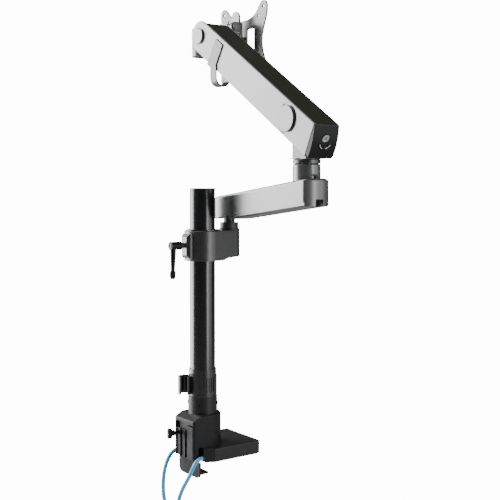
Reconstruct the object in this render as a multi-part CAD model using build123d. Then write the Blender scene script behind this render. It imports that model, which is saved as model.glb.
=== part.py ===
from build123d import *
import math
import os

os.makedirs("parts", exist_ok=True)

# Monitor arm. Millimetres, +Z up, +Y over the desk, origin on the desk's top under the pole's axis.
# The lower link points along +X and the upper arm rises back along -X.

# ---- driving dimensions ----
gap = 0.5  # clearance between pieces of different bodies
fit = 0.05  # radial clearance of a pressed or seated round fit
run = 0.08  # radial clearance of a running fit

pad_thick = 1.5
base_half_x = 41.0
base_back = -19.0
base_front = 69.5
base_corner_r = 4.0
rear_cut_x = 7.5
rear_cut_y = 12.5
base_top = 19.0
base_wall = 3.0

pole_r = 17.5
pole_wall = 2.0
pole_top = 368.5
cap_thick = 2.5
foot_floor = 5.0

column_wall = 7.5
column_r = pole_r + column_wall
column_back = -30.6
column_top = 61.0
column_slope = 7.0
column_low = 2.0
recess_depth = 4.0

collar_wall = 2.7
collar_r = pole_r + collar_wall
collar_low = 55.0
collar_top = 85.0
collar_ring_thick = 2.6

clip_low = 88.2
clip_band_top = 113.0
clip_top = 122.0
clip_wall = 2.3
clip_r = pole_r + clip_wall
clip_hook_r = 9.0
clip_hook_wall = 2.4

bracket_low = 271.5
bracket_top = 312.5
bracket_wall = 7.5
bracket_r = pole_r + bracket_wall
bracket_nose_r = 14.6
bracket_nose_lift = 2.5
liner_wall = 2.5
lever_z = 293.0
lever_boss_reach = 30.0

link_y = 45.0
link_half = 20.3
link_rise = 7.0
link_section = 30.0
link_tail_top = 357.5
link_wall = 2.6
link_cover_drop = 5.0
link_pin_r = 6.0
elbow_x = 171.0
nose_edge = 19.6
nose_centre = 26.0
elbow_r = 17.7
elbow_boss_top = 401.0
elbow_pin_r = 7.0

arm_pitch = 32.6
arm_length = 237.4
arm_half = 20.2
arm_wall = 2.4
arm_half_h = 21.75
pitch_x = 155.7
pitch_z = 458.8
seam_top = -51.0
seam_low = -56.5
cap_bulge = 59.3
cap_foot = 61.8
cover_thick = 2.2
big_cap_r = 17.0
small_cap_r = 10.7
cap_proud = 3.0
axle_r = 6.0
head_axle_r = 5.0
tie_drop = 14.0
tie_pin_r = 3.0
drive_pin_r = 4.0

head_reach = 23.7
hub_r = 15.2
hub_low = 561.0
sleeve_low = 572.5
sleeve_top = 591.5
hub_top = 602.0
tilt_y = 93.0
tilt_z = 608.0
tilt_plate_y = 103.0
plate_z = 586.0
plate_y = 117.6
plate_thick = 2.8
vesa = 100.0
vesa_small = 75.0
vesa_hole_r = 2.6
vesa_small_hole_r = 2.3

cord_r = 2.75
coil_r = 30.0
coil_bundle_r = 8.6
coil_y = -52.0
coil_z = -128.0


# ---- helpers ----
def cyl(r, z0, z1, x=0.0, y=0.0):
    return Pos(x, y, (z0 + z1) / 2) * Cylinder(r, z1 - z0)


def cyl_y(r, y0, y1, x, z):
    return Pos(x, (y0 + y1) / 2, z) * Rot(90, 0, 0) * Cylinder(r, abs(y1 - y0))


def cyl_x(r, x0, x1, y, z):
    return Pos((x0 + x1) / 2, y, z) * Rot(0, 90, 0) * Cylinder(r, abs(x1 - x0))


def box(x0, x1, y0, y1, z0, z1):
    return Pos((x0 + x1) / 2, (y0 + y1) / 2, (z0 + z1) / 2) * Box(x1 - x0, y1 - y0, z1 - z0)


def slab_y(outline, y0, y1):
    """A face drawn in X and Z, given as a sketch on the XY plane, made solid from y0 to y1."""
    return Pos(0, y1, 0) * Rot(90, 0, 0) * extrude(outline, y1 - y0)


def polygon(points):
    return make_face(Polyline(*points, close=True))


def hull_of(*shapes):
    edges = [e for s in shapes for e in s.edges()]
    return make_hull(edges)


def disc(r, x, z):
    return Pos(x, z) * Circle(r)


def rect(x0, x1, z0, z1):
    return Pos((x0 + x1) / 2, (z0 + z1) / 2) * Rectangle(x1 - x0, z1 - z0)


pitch = math.radians(arm_pitch)
arm_frame = Plane(
    origin=(pitch_x, link_y, pitch_z),
    x_dir=(-math.cos(pitch), 0, math.sin(pitch)),
    z_dir=(math.sin(pitch), 0, math.cos(pitch)),
)
head_x = pitch_x - arm_length * math.cos(pitch)
head_z = pitch_z + arm_length * math.sin(pitch)
pan_x = head_x - head_reach


def on_arm(shape):
    """Places a shape drawn along the arm: X to the head, Y to the object's -Y, Z square to the arm."""
    return arm_frame.location * shape


made = {}


def save(name, *solids):
    parts = [s for shape in solids for s in shape.solids()]
    made[name] = parts
    whole = parts[0] if len(parts) == 1 else Compound(children=parts)
    export_step(whole, f"parts/{name}.step")


# ---- base ----
base_plan = polygon([
    (-base_half_x + rear_cut_x, base_back),
    (base_half_x - rear_cut_x, base_back),
    (base_half_x, base_back + rear_cut_y),
    (base_half_x, base_front),
    (-base_half_x, base_front),
    (-base_half_x, base_back + rear_cut_y),
])
base_plan = fillet(base_plan.vertices().group_by(Axis.Y)[-1], base_corner_r)
base_plan = fillet(base_plan.vertices().filter_by(lambda v: v.Y < base_front - 20), 1.5)


def base_outline(grow, height, z0):
    plan = offset(base_plan, grow) if grow else base_plan
    return Pos(0, 0, z0) * extrude(plan, height)


desk_pad = base_outline(-2.0, pad_thick, 0)
bolt_r = 4.0
bolt_head_r = 7.0
bolt_head_thick = 5.0
save("desk_pad", desk_pad)

board_x = 30.0
board_back = 34.0
pocket_top = base_top - base_wall
plate = base_outline(0, base_top - pad_thick, pad_thick)
top_edges = plate.faces().sort_by(Axis.Z)[-1].edges()
plate = fillet(top_edges, 1.4)
plate -= box(-board_x, board_x, board_back, base_front + 1, pad_thick - 1, pocket_top)
cord_exit_x = 30.0
cord_exit_z = 5.8
grommet_r = 3.6
for side in (-1, 1):
    plate -= cyl_y(grommet_r + fit, base_back - 1, board_back + 1, side * cord_exit_x, cord_exit_z)
plate -= cyl(bolt_r + 0.3, 0, base_top + 1)
plate -= cyl(bolt_head_r + 0.5, 0, pad_thick + bolt_head_thick + 0.3)
screw_y = -12.0
screw_r = 2.0
for side in (-1, 1):
    plate -= cyl(screw_r + 0.2, 0, base_top + 1, side * 17, screw_y)
    plate -= cyl(screw_r + 2.0, 0, pad_thick + 4, side * 17, screw_y)
save("base_plate", plate)

bezel_thick = 2.0
port_x = 14.0
port_half_x = 6.6
port_half_z = 2.9
port_z = 8.5
bezel = box(-board_x + 0.2, board_x - 0.2, base_front - bezel_thick, base_front, pad_thick + 0.2,
            pocket_top - 0.2)
for side in (-1, 1):
    x = side * port_x
    bezel -= box(x - port_half_x - 0.2, x + port_half_x + 0.2, base_front - 6, base_front + 4,
                 port_z - port_half_z - 0.2,
                 port_z + port_half_z + 0.2)
save("usb_bezel", bezel)
board_z = port_z - port_half_z - 1.7
board = box(-board_x + 1, board_x - 1, board_back + 1, base_front - bezel_thick - 0.5, board_z,
            board_z + 1.6)
ports = []
for side in (-1, 1):
    x = side * port_x
    shell = box(x - port_half_x, x + port_half_x, base_front - 16, base_front - 0.3,
                port_z - port_half_z, port_z + port_half_z)
    shell -= box(x - port_half_x + 0.5, x + port_half_x - 0.5, base_front - 14, base_front + 4,
                 port_z - port_half_z + 0.5,
                 port_z + port_half_z - 0.5)
    shell += box(x - port_half_x + 1.2, x + port_half_x - 1.2, base_front - 15, base_front - 1.5,
                 port_z + 0.2, port_z + 1.8)
    ports.append(shell)
save("usb_module", board, *ports)
grommets = []
for side in (-1, 1):
    x = side * cord_exit_x
    ring = cyl_y(grommet_r, base_back - 1.2, base_back + 8, x, cord_exit_z)
    ring -= cyl_y(cord_r + fit, base_back - 2, base_back + 9, x, cord_exit_z)
    grommets.append(ring)
save("cord_grommets", *grommets)

# ---- column housing ----
column_plan = Circle(column_r) + rect(-column_r, column_r, column_back, 0)
body = extrude(column_plan, column_top + 4)
slope_line = [
    (column_back - 1, column_top - column_slope),
    (-collar_r + 2, column_top),
    (column_r + 1, column_top),
    (column_r + 1, column_top + 10),
    (column_back - 1, column_top + 10),
]
top_cut = Plane.YZ * polygon(slope_line)
body -= extrude(top_cut, 2 * column_r, both=True)
body -= box(-60, 60, base_back - gap - 3.5, 60, -1, base_top)
body -= box(-60, 60, column_back - 1, base_back, -1, column_low)
corners = [e for e in body.edges().filter_by(Axis.Z) if e.center().Y < column_back + 0.1]
body = fillet(corners, 3.5)
rim = [e for e in body.edges() if e.center().Z > column_top - column_slope - 0.5]
body = fillet(rim, 2.0)
body += Pos(0, 0, base_top) * extrude(offset(column_plan, 1.2) - rect(-60, 60, -60, base_back), 1.4)
tongue_half = 18.0
plate_low_half = 25.8
bracket_thick = 3.0
plate_front = base_back - gap
plate_back = plate_front - bracket_thick
slot_top = 54.0
body -= box(-tongue_half - gap, tongue_half + gap, plate_back - gap, plate_front + gap, -1, slot_top)
body -= cyl(collar_r + fit, collar_low, 90)
body -= cyl(pole_r + fit, base_top + foot_floor, 90)
body -= cyl(bolt_r + 0.3, 0, 40)
recess_left = -21.0
recess_right = 23.0
recess_floor = column_back + recess_depth
body -= box(recess_left, recess_right, column_back - 2, recess_floor, -1, 50)
wing_x = -14.0
wing_z = 34.0
wing_stem_r = 2.5
body -= cyl_y(wing_stem_r + run, column_back - 2, plate_back, wing_x, wing_z)
for side in (-1, 1):
    body -= cyl(screw_r + fit, base_top - 1, base_top + 14, side * 17, screw_y)
save("column_housing", body)

strip_top = 40.0
strip = box(recess_left + 0.6, 6, column_back + 1.6, recess_floor, column_low, strip_top)
for rib_x in (-10.4, 1.7):
    strip += box(rib_x - 0.9, rib_x + 0.9, column_back - 0.4, column_back + 1.8, column_low, strip_top)
strip -= cyl_y(wing_stem_r + 1.0, column_back - 2, 0, wing_x, wing_z)
corner = box(7, recess_right - 0.4, column_back - 0.2, recess_floor, column_low, 47)
corner = fillet(corner.edges().filter_by(Axis.Z).group_by(Axis.Y)[0], 1.2)
save("rear_covers", strip, corner)
house_screws = []
for side in (-1, 1):
    one = cyl(screw_r, pad_thick + 1.5, base_top + 12, side * 17, screw_y)
    one += cyl(screw_r + 1.8, pad_thick + 1.5, pad_thick + 4, side * 17, screw_y)
    house_screws.append(one)

# ---- clamp bracket and wing screw ----
lip_low = -23.5
lip_reach = 21.5
lip_thick = 3.0
bend_z = -2.0
wide = Pos(0, 0) * rect(-plate_low_half, plate_low_half, lip_low, bend_z)
wide = fillet(wide.vertices().group_by(Axis.Y)[0], 8.0)
tongue = rect(-tongue_half, tongue_half, bend_z - 1, 45.0)
jaw = slab_y(wide + tongue, plate_back, plate_front)
jaw += box(-11, 11, plate_front - 0.5, plate_front + lip_reach, lip_low, lip_low + lip_thick)
gusset_face = polygon([(plate_front - 0.5, lip_low + lip_thick - 0.5), (plate_front + 5,
                      lip_low + lip_thick - 0.5),
                       (plate_front - 0.5, lip_low + lip_thick + 5)])
jaw += extrude(Plane.YZ * gusset_face, 1.5, both=True)
save("clamp_bracket", jaw)
wing = cyl_y(wing_stem_r, -43, plate_back - 0.3, wing_x, wing_z)
tab = Pos(wing_x, -45, wing_z) * Box(4, 6, 13.6)
tab = fillet(tab.edges().filter_by(Axis.X), 1.8)
wing += tab
wing += cyl_y(4.0, -42.5, -38, wing_x, wing_z)
save("wing_screw", wing)

# ---- pole ----
plug_low = base_top + foot_floor
tube = cyl(pole_r, plug_low, pole_top) - cyl(pole_r - pole_wall, plug_low - 1, pole_top + 1)
save("pole", tube)
plug = cyl(pole_r - pole_wall - fit, plug_low, plug_low + 22) - cyl(bolt_r + fit, plug_low - 1,
    plug_low + 30)
save("pole_foot_plug", plug)
bolt = cyl(bolt_r, pad_thick + 1, plug_low + 20)
bolt += cyl(bolt_head_r, pad_thick + 0.3, pad_thick + bolt_head_thick)
bolt -= extrude(Pos(0, 0, pad_thick) * RegularPolygon(3.4, 6), 3)
save("base_screws", bolt, *house_screws)
lid = cyl(pole_r, pole_top, pole_top + cap_thick) + cyl(pole_r - pole_wall - fit, pole_top - 8, pole_top)
lid = fillet(lid.faces().sort_by(Axis.Z)[-1].edges(), 1.0)
grub_r = 2.5
grub_z = 74.5
collar = cyl(collar_r, collar_low, collar_top) - cyl(pole_r + fit, collar_low - 1, collar_top + 1)
collar = fillet(collar.faces().sort_by(Axis.Z)[-1].edges().sort_by(SortBy.LENGTH)[-1], 1.0)
for k in range(4):
    collar -= Rot(0, 0, 45 + 90 * k) * cyl_x(grub_r + fit, pole_r - 1, collar_r + 2, 0, grub_z)
save("pole_collar", collar)
grubs = []
for k in range(4):
    one = cyl_x(grub_r, pole_r + 0.1, collar_r + 0.9, 0, grub_z)
    socket = Pos(collar_r + 1, 0, grub_z) * Rot(0, 90, 0) * extrude(RegularPolygon(1.4, 6), 1.6, both=True)
    grubs.append(Rot(0, 0, 45 + 90 * k) * (one - socket))
save("collar_grub_screws", *grubs)
ring = cyl(pole_r + 2.0, collar_top, collar_top + collar_ring_thick)
ring -= cyl(pole_r + fit, collar_top - 1, clip_low)
save("pole_trim", lid, ring)

# ---- pole cable clip ----
clip_bore = pole_r + 0.25
band = cyl(clip_r, clip_low, clip_band_top)
upper_band = cyl(clip_r - 0.9, clip_band_top, clip_top)
clip = band + upper_band
hook_x = -6.0
hook_y = -clip_r - clip_hook_r + 3.0
hook = Pos(hook_x, hook_y) * (Circle(clip_hook_r) - Circle(clip_hook_r - clip_hook_wall))
mouth = Pos(hook_x, hook_y) * Rot(0, 0, -35) * rect(0, 20, -4.2, 4.2)
clip += Pos(0, 0, clip_low) * extrude(hook - mouth, clip_band_top - clip_low)
clip -= cyl(clip_bore, 0, 200)
for k in range(5):
    turn = -30 + 11 * k
    clip -= Rot(0, 0, turn) * box(clip_r - 1.2, clip_r + 1, -1.1, 1.1, clip_low + 2.5, clip_band_top - 1.5)
slit = Rot(0, 0, 150) * box(pole_r - 1, clip_r + 2, -2.5, 2.5, clip_low - 1, clip_top + 1)
clip -= slit
save("pole_clip", clip)

# ---- height clamp ----
liner_r = pole_r + run + liner_wall
liner = cyl(liner_r, bracket_low + 0.3, bracket_top + 0.4) - cyl(pole_r + run, 200, 400)
liner += cyl(liner_r + 2.4, bracket_top + 0.4, bracket_top + 1.8) - cyl(pole_r + run, 200, 400)
liner -= box(-liner_r - 4, -pole_r + 1, -0.8, 0.8, 200, 400)
save("pole_liner", liner)
nose_y = link_y
shell_plan = hull_of(Circle(bracket_r), Pos(0, nose_y) * Circle(bracket_nose_r))
grip = Pos(0, 0, bracket_low) * extrude(shell_plan, bracket_top - bracket_low)
under = [
    (bracket_r - 4, bracket_low - 1),
    (bracket_r + 5, bracket_low + bracket_nose_lift),
    (nose_y + 20, bracket_low + bracket_nose_lift + 2),
    (nose_y + 20, bracket_low - 1),
]
grip -= extrude(Plane.YZ * polygon(under), 40, both=True)
boss = slab_y(rect(-10, 10, bracket_low + 4, bracket_top - 4), -lever_boss_reach, -bracket_r + 5)
boss = chamfer(boss.faces().sort_by(Axis.Y)[0].edges(), 4.0)
grip += boss
grip = fillet(grip.faces().sort_by(Axis.Z)[-1].edges(), 1.0)
liner_clear = 0.1
grip -= cyl(liner_r + liner_clear, 200, 400)
stud_r = 3.5
grip -= cyl_y(stud_r + run, -lever_boss_reach - 1, 0, 0, lever_z)
grip -= cyl(link_pin_r + fit, 200, 400, 0, nose_y)
pin_head_r = 9.0
pin_low = bracket_low + bracket_nose_lift + 2
grip -= cyl(pin_head_r + 0.3, 200, pin_low + 6, 0, nose_y)
save("arm_bracket", grip)
pad_block = cyl_y(stud_r, -liner_r - liner_clear - 0.6, -liner_r - liner_clear - 2.6, 0, lever_z)

# locking lever: stud, hub and hanging handle
lever = cyl_y(stud_r, -46, -liner_r - liner_clear - 2.9, 0, lever_z)
hub = cyl_y(5.6, -52, -34.4, 0, lever_z)
hub = chamfer(hub.faces().sort_by(Axis.Y)[-1].edges(), 1.2)
lever_stud = lever - cyl_y(6, -60, -34.2, 0, lever_z) + cyl_y(3.0, -46, -34.2, 0, lever_z)
handle_y = -47.0
handle_len = 45.0
grip_bar = loft([
    Plane(origin=(0, handle_y, lever_z - 3)) * Ellipse(4.4, 4.0),
    Plane(origin=(0, handle_y - 0.8, lever_z - handle_len + 12)) * Ellipse(3.0, 2.8),
])
knob = loft([
    Plane(origin=(0, handle_y - 0.8, lever_z - handle_len + 12)) * Ellipse(3.0, 2.8),
    Plane(origin=(0, handle_y - 1.0, lever_z - handle_len + 7)) * Ellipse(4.4, 4.2),
    Plane(origin=(0, handle_y - 1.0, lever_z - handle_len)) * Ellipse(3.0, 2.6),
])
handle = hub + grip_bar + knob - cyl_y(3.0 + fit, -47, -33, 0, lever_z)
handle -= cyl_y(3.6 + fit, -53, -49.5, 0, lever_z)
save("lever_handle", handle)
end_screw = cyl_y(3.6, -52.6, -49.6, 0, lever_z)
end_screw -= slab_y(Pos(0, lever_z) * RegularPolygon(1.8, 6), -53, -51)
save("lever_stud", lever_stud, end_screw)

# ---- pivot between the bracket and the lower link ----
washer_top = bracket_top + 2.0
bush_top = 323.0
pivot_washer = cyl(bracket_nose_r - 0.2, bracket_top, washer_top, 0, nose_y)
pivot_washer -= cyl(link_pin_r + run, 200, 400, 0, nose_y)
save("bracket_friction_pads", pad_block, pivot_washer)
pin_top = 344.0
thread_r = 2.5
pin = cyl(link_pin_r, pin_low + 0.5, pin_top, 0, nose_y) + cyl(pin_head_r, pin_low + 0.5,
    pin_low + 5.8, 0, nose_y)
pin -= cyl(thread_r + fit, pin_top - 14, pin_top + 1, 0, nose_y)
save("link_pivot_pin", pin)

# ---- lower link ----
rise = math.tan(math.radians(link_rise))


def link_line(x, drop=0.0):
    """Height of the link's sloping top, or of a line that far below it."""
    return link_tail_top + (x + 20) * rise - drop


nose_arc = ThreePointArc(
    (elbow_x + nose_edge, link_y - link_half),
    (elbow_x + nose_centre, link_y),
    (elbow_x + nose_edge, link_y + link_half),
)
far_side = Line((elbow_x + nose_edge, link_y + link_half), (0, link_y + link_half))
tail_arc = ThreePointArc((0, link_y + link_half), (-link_half, link_y), (0, link_y - link_half))
near_side = Line((0, link_y - link_half), (elbow_x + nose_edge, link_y - link_half))
link_plan = make_face([nose_arc, far_side, tail_arc, near_side])


def link_band(top_drop, low_drop, plan, x0=-60.0, x1=260.0):
    """The part of a plan between two lines below the link's top."""
    outline = polygon([
        (x0, link_line(x0, low_drop)),
        (x1, link_line(x1, low_drop)),
        (x1, link_line(x1, top_drop)),
        (x0, link_line(x0, top_drop)),
    ])
    return extrude(plan, 500) & slab_y(outline, -60, 160)


link = link_band(0, link_section, link_plan)
upright = [e for e in link.edges().filter_by(Axis.Z) if e.center().X > elbow_x]
link = fillet(upright, 5.0)
rim = [e for e in link.edges() if e.center().Z > link_line(e.center().X, 1.0) and e.center().X > -30]
link = fillet(rim, 4.0)
inner = rect(link_pin_r + 14, elbow_x - elbow_r - 1, link_y - link_half + link_wall,
             link_y + link_half - link_wall)
link -= link_band(link_wall, link_section + 5, inner)
elbow_boss = cyl(elbow_r, 360, elbow_boss_top, elbow_x, link_y)
elbow_boss = chamfer(elbow_boss.faces().sort_by(Axis.Z)[-1].edges(), 0.8)
link += elbow_boss
groove_z = elbow_boss_top - 2.6
link -= cyl(elbow_r + 1, groove_z, groove_z + 0.9, elbow_x, link_y) - cyl(elbow_r - 0.7, 300, 450,
    elbow_x, link_y)
gusset = polygon([
    (elbow_x + elbow_r - 3, link_line(elbow_x + nose_centre, 6)),
    (elbow_x + elbow_r - 3, elbow_boss_top - 12),
    (elbow_x + elbow_r - 0.5, elbow_boss_top - 12),
    (elbow_x + nose_centre - 2, link_line(elbow_x + nose_centre, 2)),
    (elbow_x + nose_centre - 2, link_line(elbow_x + nose_centre, 6)),
])
link += slab_y(gusset, link_y - 2, link_y + 2)
bush_r = link_pin_r + run + 1.9
link -= cyl(bush_r + fit, 200, pin_top + 6, 0, nose_y)
link -= cyl(bracket_nose_r, 200, bush_top, 0, nose_y)
lid_r = 11.0
link -= cyl(lid_r + fit, pin_top - 0.2, 400, 0, nose_y)
elbow_bush_r = elbow_pin_r + run + 1.9
link -= cyl(elbow_bush_r + fit, 300, 450, elbow_x, link_y)
nut_low = 352.0
link -= cyl(12.5, 300, nut_low + 7, elbow_x, link_y)
elbow_grub_z = 387.5
link -= Pos(elbow_x, link_y, 0) * Rot(0, 0, -12) * cyl_x(1.8 + fit, elbow_bush_r - 0.5, elbow_r + 2,
    0, elbow_grub_z)
slot_half = 6.0
slot_ceiling = link_line(elbow_x + 20, link_section - 4)
link -= box(elbow_x + 13, elbow_x + 40, link_y - slot_half, link_y + slot_half, 300, slot_ceiling)
save("lower_link", link)

cover_start = bracket_nose_r + 12
lower_plan = offset(link_plan, -0.4) & rect(cover_start, elbow_x + 60, link_y - 40, link_y + 40)
cover = link_band(link_section + 0.1, link_section + link_cover_drop, lower_plan)
cover_low = link_section + link_cover_drop
low_edges = [e for e in cover.edges() if abs(e.center().Z - link_line(e.center().X, cover_low)) < 0.5]
long_edges = [e for e in low_edges if e.length > 60]
cover = chamfer(long_edges, 2.0)
cable_room = rect(cover_start + 2, elbow_x + 11.5, link_y - link_half + 6, link_y + link_half - 6)
cover -= link_band(link_section - 1, link_section + link_cover_drop - 1.8, cable_room)
cover -= box(elbow_x + 13, elbow_x + 40, link_y - slot_half, link_y + slot_half, 300, 500)
save("link_cable_cover", cover)

# bushes: sleeves with a flange
low_bush = cyl(bush_r, bush_top - 0.1, pin_top - 4, 0, nose_y)
low_bush += cyl(bracket_nose_r - 1.6, washer_top + 0.3, bush_top, 0, nose_y)
low_bush -= cyl(link_pin_r + run, 200, 400, 0, nose_y)
pin_washer = cyl(lid_r - 1.0, pin_top + 0.3, pin_top + 2.0, 0, nose_y) - cyl(thread_r + 0.3, 300,
    400, 0, nose_y)
retaining = cyl(thread_r, pin_top - 12, pin_top + 3, 0, nose_y) + cyl(4.5, pin_top + 2.1,
    pin_top + 5, 0, nose_y)
retaining -= extrude(Pos(0, nose_y, pin_top + 3.5) * RegularPolygon(2.0, 6), 3)
save("link_pin_screw", retaining, pin_washer)
lid_top = link_line(-lid_r) - 1.2
save("link_tail_lid", cyl(lid_r, pin_top + 6.5, lid_top, 0, nose_y))

elbow_bush = cyl(elbow_bush_r, nut_low + 7, elbow_boss_top, elbow_x, link_y)
elbow_bush += cyl(elbow_r - 1.5, elbow_boss_top, elbow_boss_top + 1.0, elbow_x, link_y)
elbow_bush -= cyl(elbow_pin_r + run, 300, 450, elbow_x, link_y)
save("link_bushes", low_bush, elbow_bush)
elbow_grub = cyl_x(1.8, elbow_bush_r + 0.1, elbow_r + 0.5, 0, elbow_grub_z)
elbow_grub -= Pos(elbow_r + 0.5, 0, elbow_grub_z) * Rot(0, 90, 0) * extrude(RegularPolygon(1.0, 6),
    1.2, both=True)
save("elbow_grub_screw", Pos(elbow_x, link_y, 0) * Rot(0, 0, -12) * elbow_grub)

# ---- elbow knuckle ----
flange_low = elbow_boss_top + 1.4
flange_top = 409.0
cheek_a = (3.6, 8.0)
cheek_b = (-15.8, -11.0)
neck_half = 14.8
neck_r = 17.0
lug_r = 10.5
neck_left = 10.5
collar_disc = cyl(elbow_r, flange_low, flange_top, elbow_x, link_y)
collar_disc = chamfer(collar_disc.faces().sort_by(Axis.Z)[-1].edges(), 2.6)
neck = cyl(neck_r, flange_top - 2, 432, elbow_x, link_y) & box(0, 300, link_y - neck_half,
    link_y + neck_half, 300, 500)
lug_foot = rect(elbow_x - neck_r + 0.3, elbow_x + neck_r - 0.6, flange_top - 1, 424)
lug_outline = hull_of(disc(lug_r, pitch_x, pitch_z), lug_foot)
knuckle = collar_disc + neck
knuckle += slab_y(lug_outline, link_y - cheek_a[1], link_y - cheek_a[0])
knuckle += slab_y(lug_outline, link_y - cheek_b[1], link_y - cheek_b[0])
low_block = lug_outline & rect(0, 300, 300, 430)
knuckle += slab_y(low_block, link_y - neck_half, link_y + neck_half)
knuckle -= cyl_y(axle_r + fit, link_y - 20, link_y + 20, pitch_x, pitch_z)
knuckle -= box(0, elbow_x - neck_left, link_y - 20, link_y + 20, flange_top, 437)
drive_z = pitch_z - tie_drop
knuckle -= cyl_y(drive_pin_r + fit, link_y - 20, link_y + 20, pitch_x, drive_z)
knuckle -= cyl(elbow_pin_r + fit, 390, 426, elbow_x, link_y)
save("elbow_knuckle", knuckle)
spindle = cyl(elbow_pin_r, nut_low + 3.2, 425.5, elbow_x, link_y) - cyl(thread_r + fit, 300,
    nut_low + 20, elbow_x, link_y)
save("elbow_spindle", spindle)
elbow_washer = cyl(11.5, nut_low + 4.8, nut_low + 6.7, elbow_x, link_y)
elbow_washer -= cyl(elbow_pin_r + fit, 300, 450, elbow_x, link_y)
nut = cyl(thread_r, nut_low + 1, nut_low + 18, elbow_x, link_y) + cyl(9.0, nut_low, nut_low + 3.1,
    elbow_x, link_y)
nut -= extrude(Pos(elbow_x, link_y, nut_low - 1) * RegularPolygon(2.4, 6), 3)
save("elbow_screw", nut, elbow_washer)

# ---- upper arm, drawn along the arm ----
outline_low = (seam_low - seam_top) / 41.0
top_start = seam_top - (arm_half_h - 20.6) * outline_low + 0.3
low_start = seam_top + (20.6 + arm_half_h) * outline_low + 0.3
side_lines = [
    Line((low_start, -arm_half_h), (top_start, arm_half_h)),
    Line((top_start, arm_half_h), (arm_length, arm_half_h)),
    ThreePointArc((arm_length, arm_half_h), (arm_length + arm_half_h, 0), (arm_length, -arm_half_h)),
    Line((arm_length, -arm_half_h), (low_start, -arm_half_h)),
]
side_face = make_face(side_lines)
inner_half = arm_half - arm_wall


def slab_arm(outline, v0, v1):
    """A face drawn in u and n, made solid from v0 to v1 in the arm's own frame."""
    return Pos(0, v1, 0) * Rot(90, 0, 0) * extrude(outline, v1 - v0)


recess = 1.0
big_recess_r = big_cap_r + 2.3
small_recess_r = small_cap_r + 1.8
axle_bush_r = axle_r + run + 1.9
head_bush_r = head_axle_r + run + 1.9
wall = slab_arm(side_face, inner_half, arm_half)
wall = fillet(wall.faces().sort_by(Axis.Y)[-1].edges(), 1.2)
for u, recess_r, hole_r in ((0, big_recess_r, axle_bush_r), (arm_length, small_recess_r, head_bush_r)):
    wall -= cyl_y(recess_r, arm_half - recess, arm_half + 1, u, 0)
    wall -= cyl_y(hole_r + fit, 0, 30, u, 0)
shell = wall + mirror(wall, Plane.XZ)
floor_start = 34.0
floor_end = 212.0
shell += box(floor_start, floor_end, -inner_half - 0.3, inner_half + 0.3, -arm_half_h,
             -arm_half_h + arm_wall)
ledge_top = arm_half_h - 0.4 - cover_thick
for side in (-1, 1):
    v = side * inner_half
    shell += box(-47, 226, min(v + 0.3 * side, v - 2 * side), max(v + 0.3 * side, v - 2 * side),
                 ledge_top - 2, ledge_top)
web_low = -3.0
shell += box(-50.0, -47.0, -inner_half - 0.3, inner_half + 0.3, web_low, ledge_top)
screw_n = 5.5
tension_r = 4.0
shell -= cyl_x(tension_r + run, -60, -40, 0, screw_n)
spring_v = -3.7
spring_n = -11.2
anchor_u = 200.0
shell += box(anchor_u, anchor_u + 11, spring_v - 8, spring_v + 8, -arm_half_h + 1, -2)
tail_stud_r = 4.0
shell -= cyl_x(tail_stud_r + fit, anchor_u - 5, anchor_u + 20, spring_v, spring_n)
save("arm_shell", on_arm(shell))

top = box(seam_top + 0.4, 235.8, -inner_half + 0.4, inner_half - 0.4, ledge_top, ledge_top + cover_thick)
top = fillet(top.faces().sort_by(Axis.Z)[-1].edges().filter_by(Axis.X), 0.8)
save("arm_top_cover", on_arm(top))

cap_lines = [
    Line((low_start - 0.4, -20.6), (top_start - 0.6, 20.9)),
    ThreePointArc((top_start - 0.6, 20.9), (-cap_bulge, 0), (-cap_foot, -20.6)),
    Line((-cap_foot, -20.6), (low_start - 0.4, -20.6)),
]
cap_body = slab_arm(make_face(cap_lines), -arm_half, arm_half)
cap_inner = [
    Line((low_start + 1, -17.5), (seam_top - 1.6, 14.0)),
    ThreePointArc((seam_top - 1.6, 14.0), (-cap_bulge + 2.4, -1.0), (-cap_foot + 2.6, -17.5)),
    Line((-cap_foot + 2.6, -17.5), (low_start + 1, -17.5)),
]
cap_corner = [e for e in cap_body.edges() if abs(abs(e.center().Y) - arm_half) < 0.1 and e.center().X < -58]
cap_body = fillet(cap_corner[:2] if len(cap_corner) > 2 else cap_corner, 3.0)
cap_body -= slab_arm(make_face(cap_inner), -inner_half + 0.5, inner_half - 0.5)
screw_head_r = 5.0
cap_body -= cyl_x(screw_head_r + 0.4, -70, -40, 0, screw_n)
save("arm_end_cap", on_arm(cap_body))
tension = cyl_x(tension_r, -55, -31, 0, screw_n) + cyl_x(screw_head_r, -58.6, -54.5, 0, screw_n)
tension -= Pos(-59, 0, screw_n) * Rot(0, 90, 0) * extrude(RegularPolygon(2.9, 6), 3)
save("tension_screw", on_arm(tension))
save("tension_nut", on_arm(box(-43.5, -35.5, -8, 8, 0, 12.5) - cyl_x(tension_r + run, -60, -20, 0, screw_n)))

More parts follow.
